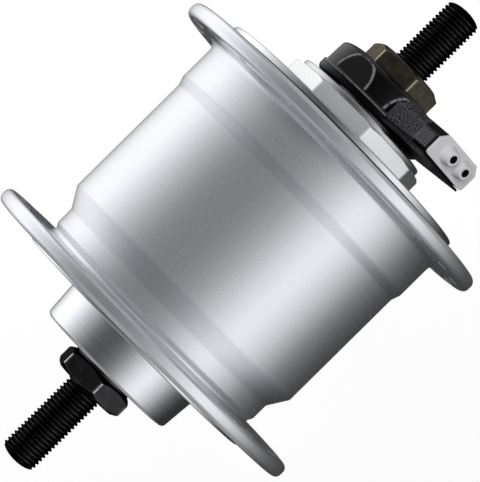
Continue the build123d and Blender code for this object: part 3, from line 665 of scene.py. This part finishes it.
# Inner pieces: bearings, magnets and stator are closed in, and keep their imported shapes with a
# finish each. They show only where the shell is taken off.
inner_relief = 0.005 * MM
metal, no_metal = {"Metallic": 1.0}, {"Metallic": 0.0}
for name, tones, grain, roughness, kind, nodes in (
    ("ground_bearing_steel", ("#B4B5B8", "#C4C5C7"), 0.4, (0.16, 0.24), metal,
     ("left_bearing_cup", "right_bearing_cup", "left_cone", "right_cone")),
    ("polished_ball_steel", ("#C9CACC", "#D6D7D8"), 1.0, (0.06, 0.1), metal, ("left_balls", "right_balls")),
    ("pressed_cage_brass", ("#B59A55", "#C7AD68"), 0.5, (0.25, 0.35), metal,
     ("left_ball_cage", "right_ball_cage")),
    ("stamped_pole_steel", ("#85868A", "#97989B"), 0.6, (0.35, 0.5), metal,
     ("left_dust_cap", "magnet_yoke", "left_claw_pole", "right_claw_pole", "stator_core")),
    ("sintered_ferrite", ("#29292C", "#35353A"), 0.3, (0.5, 0.65), no_metal, ("magnets",)),
    ("moulded_natural_nylon", ("#DCD7C8", "#E6E2D5"), 0.5, (0.4, 0.5), no_metal, ("coil_bobbin",)),
    ("enamelled_copper_wire", ("#7E4022", "#9A5430"), 0.4, (0.25, 0.35), metal, ("coil_winding",)),
    ("insulated_lead", ("#8E1E18", "#A3281F"), 0.4, (0.4, 0.5), no_metal, ("coil_lead",)),
    ("bright_zinc_plated_steel", ("#A9ABAE", "#BCBEC0"), 0.5, (0.25, 0.35), metal,
     ("left_stator_nut", "right_stator_nut")),
    ("moulded_black_rubber", ("#0B0B0B", "#141414"), 0.3, (0.55, 0.7), no_metal, ("cover_seal",)),
):
    refinish(nodes, worked_material(name, tones, grain * MM, roughness, inner_relief, kind))


# Camera: a long lens 0.7 m from the hub, 47.5 degrees above the horizon on the -X side. It looks
# at the axle's foot station, which shows at the foot pixel of the picture, and is rolled so that
# the axle runs up to the right, off the diagonal by the drift share.
picture_width, picture_height = 480, 482
camera_elevation = math.radians(47.5)
camera_distance = 0.7
camera_sensor = 36
pixels_a_metre = 4550
foot_station = -10.8 * MM
foot_pixel = (205.8, 270.5)
axle_drift_share = 0.0066
towards = Vector((-math.cos(camera_elevation), 0, math.sin(camera_elevation)))
across = Vector((math.sin(camera_elevation), 0, math.cos(camera_elevation)))
along = Vector((0, 1, 0))
picture_a = (along - axle_drift_share * across).normalized()
picture_b = (across + axle_drift_share * along).normalized()
camera_right = (picture_a + picture_b).normalized()
camera_up = (picture_a - picture_b).normalized()
camera_data = bpy.data.cameras.new("camera")
camera_data.sensor_width = camera_sensor
camera_data.lens = pixels_a_metre * camera_distance * camera_sensor / picture_height
camera_data.shift_x = (picture_width / 2 - foot_pixel[0]) / picture_height
camera_data.shift_y = (foot_pixel[1] - picture_height / 2) / picture_height
camera_data.clip_start = 0.05
camera = bpy.data.objects.new("camera", camera_data)
bpy.context.scene.collection.objects.link(camera)
turn = Matrix((camera_right, camera_up, towards)).transposed().to_4x4()
camera.matrix_world = Matrix.Translation(Vector((0, foot_station, 0)) + towards * camera_distance) @ turn
bpy.context.scene.camera = camera

# Floor: plain and pale, a third of a metre below the hub, where a wheel would touch the ground.
# It adds light only for the camera and reflections, so that it shows white and keeps a shadow.
floor_drop = 0.33
floor_reach = 6.0
floor_lift = 0.62
floor_corners = [(x * floor_reach, y * floor_reach, -floor_drop)
                 for x, y in ((-1, -1), (1, -1), (1, 1), (-1, 1))]
floor_mesh = bpy.data.meshes.new("floor")
floor_mesh.from_pydata(floor_corners, [], [(0, 1, 2, 3)])
floor = bpy.data.objects.new("floor", floor_mesh)
bpy.context.scene.collection.objects.link(floor)
floor_paint = worked_material("pale_floor_paint", ("#E2E2E2", "#E6E6E6"), 40 * MM, (0.85, 0.92),
                              0.1 * MM, {"Emission Color": (1, 1, 1, 1)})


def seen(material):
    """1 for rays from the camera, a reflection or a transmission, and 0 for scattered light."""
    path = add_node(material, "ShaderNodeLightPath")
    direct = add_node(material, "ShaderNodeMath", operation="MAXIMUM",
                      links={0: path.outputs["Is Camera Ray"], 1: path.outputs["Is Glossy Ray"]})
    any_seen = add_node(material, "ShaderNodeMath", operation="MAXIMUM",
                        links={0: direct.outputs["Value"], 1: path.outputs["Is Transmission Ray"]})
    return any_seen.outputs["Value"]


lift = add_node(floor_paint, "ShaderNodeMath", {1: floor_lift}, {0: seen(floor_paint)}, operation="MULTIPLY")
feed(floor_paint, "shader", "Emission Strength", lift.outputs["Value"])
floor_paint.cycles.emission_sampling = "NONE"
floor_mesh.materials.append(floor_paint)

# World: white where the camera or a reflection sees it, and a soft even light elsewhere
world_light = 0.15
world = bpy.data.worlds.new("studio")
bpy.context.scene.world = world
world.use_nodes = True
world.node_tree.nodes.clear()
world_level = add_node(world, "ShaderNodeMapRange", {"To Min": world_light, "To Max": 1.0},
                       {"Value": seen(world)})
sky = add_node(world, "ShaderNodeBackground", {"Color": (1, 1, 1, 1)},
               {"Strength": world_level.outputs["Result"]})
add_node(world, "ShaderNodeOutputWorld", links={"Surface": sky.outputs["Background"]})

# Reflector: a round tent about the axle, closed at both ends, that only reflections see. Its
# soft light and dark bands give the metal its shape. They are (degrees from +Z towards +X, level)
# round its middle, and fade to one even level at the ends. The tent's rows are (radius, station).
tent_radius, tent_end = 0.3, 0.5
bands_end, bands_fade = 0.2, 0.3
tent_columns = 180
tent_rows = ((0, -tent_end), (tent_radius, -tent_end), (tent_radius, -bands_fade), (tent_radius, -bands_end),
             (tent_radius, bands_end), (tent_radius, bands_fade), (tent_radius, tent_end), (0, tent_end))
tent_end_level = 0.35
tent_bands = ((-180, 1.1), (-170, 1.3), (-160, 1.4), (-148, 1.4), (-135, 1.22), (-124, 0.92), (-114, 0.65),
              (-104, 0.43), (-95, 0.26), (-86, 0.15), (-77, 0.11), (-69, 0.09), (-61, 0.1), (-53, 0.13),
              (-44, 0.19), (-36, 0.28), (-28, 0.43), (-20, 0.62), (-12, 0.82), (-3, 1.02), (5, 1.17),
              (14, 1.12), (24, 0.9), (34, 0.67), (44, 0.42), (56, 0.19), (70, 0.08), (86, 0.03),
              (148, 0.03), (158, 0.2), (168, 0.7), (180, 1.1))
tent_angles = np.linspace(0, 2 * np.pi, tent_columns, endpoint=False)
tent_places = np.array(tent_rows)
tent_grid = around_axle(tent_places[:, :1], tent_places[:, 1:], tent_angles[None, :])
tent_points, tent_quads = closed_grid(tent_grid)[:2]
tent_mesh = bpy.data.meshes.new("tent")
tent_mesh.from_pydata(tent_points.tolist(), [], tent_quads.tolist())
banded_rows = slice(3, 5)
levels = np.full((len(tent_rows), tent_angles.size), tent_end_level)
levels[banded_rows] = np.interp((np.degrees(tent_angles) + 180) % 360 - 180, *zip(*tent_bands))
tent_mesh.attributes.new("level", "FLOAT", "POINT").data.foreach_set("value", levels.ravel())
tent = bpy.data.objects.new("tent", tent_mesh)
bpy.context.scene.collection.objects.link(tent)
tent_cloth = bpy.data.materials.new("reflector_cloth")
tent_cloth.use_nodes = True
tent_cloth.node_tree.nodes.clear()
tent_level = add_node(tent_cloth, "ShaderNodeAttribute", attribute_name="level").outputs["Fac"]
tent_glow = add_node(tent_cloth, "ShaderNodeEmission", {"Color": (1, 1, 1, 1)}, {"Strength": tent_level})
add_node(tent_cloth, "ShaderNodeOutputMaterial", links={"Surface": tent_glow.outputs["Emission"]})
tent_cloth.cycles.emission_sampling = "NONE"
tent_mesh.materials.append(tent_cloth)
tent.visible_camera = False
tent.visible_diffuse = False
tent.visible_shadow = False
tent.visible_transmission = False

# Lamps: a broad soft key from the camera's side, and a weaker fill from the far side
for name, place, width, watts in (("key", (-0.7, 0.15, 0.7), 0.7, 11.0), ("fill", (0.8, 0.5, 0.5), 0.8, 0.5)):
    lamp_data = bpy.data.lights.new(name, "AREA")
    lamp_data.size = width
    lamp_data.energy = watts
    lamp_data.cycles.use_multiple_importance_sampling = False
    lamp = bpy.data.objects.new(name, lamp_data)
    bpy.context.scene.collection.objects.link(lamp)
    lamp.location = place
    lamp.rotation_euler = (-Vector(place)).to_track_quat("-Z", "Y").to_euler()
    lamp.visible_glossy = False

bpy.context.scene.view_settings.view_transform = "Standard"
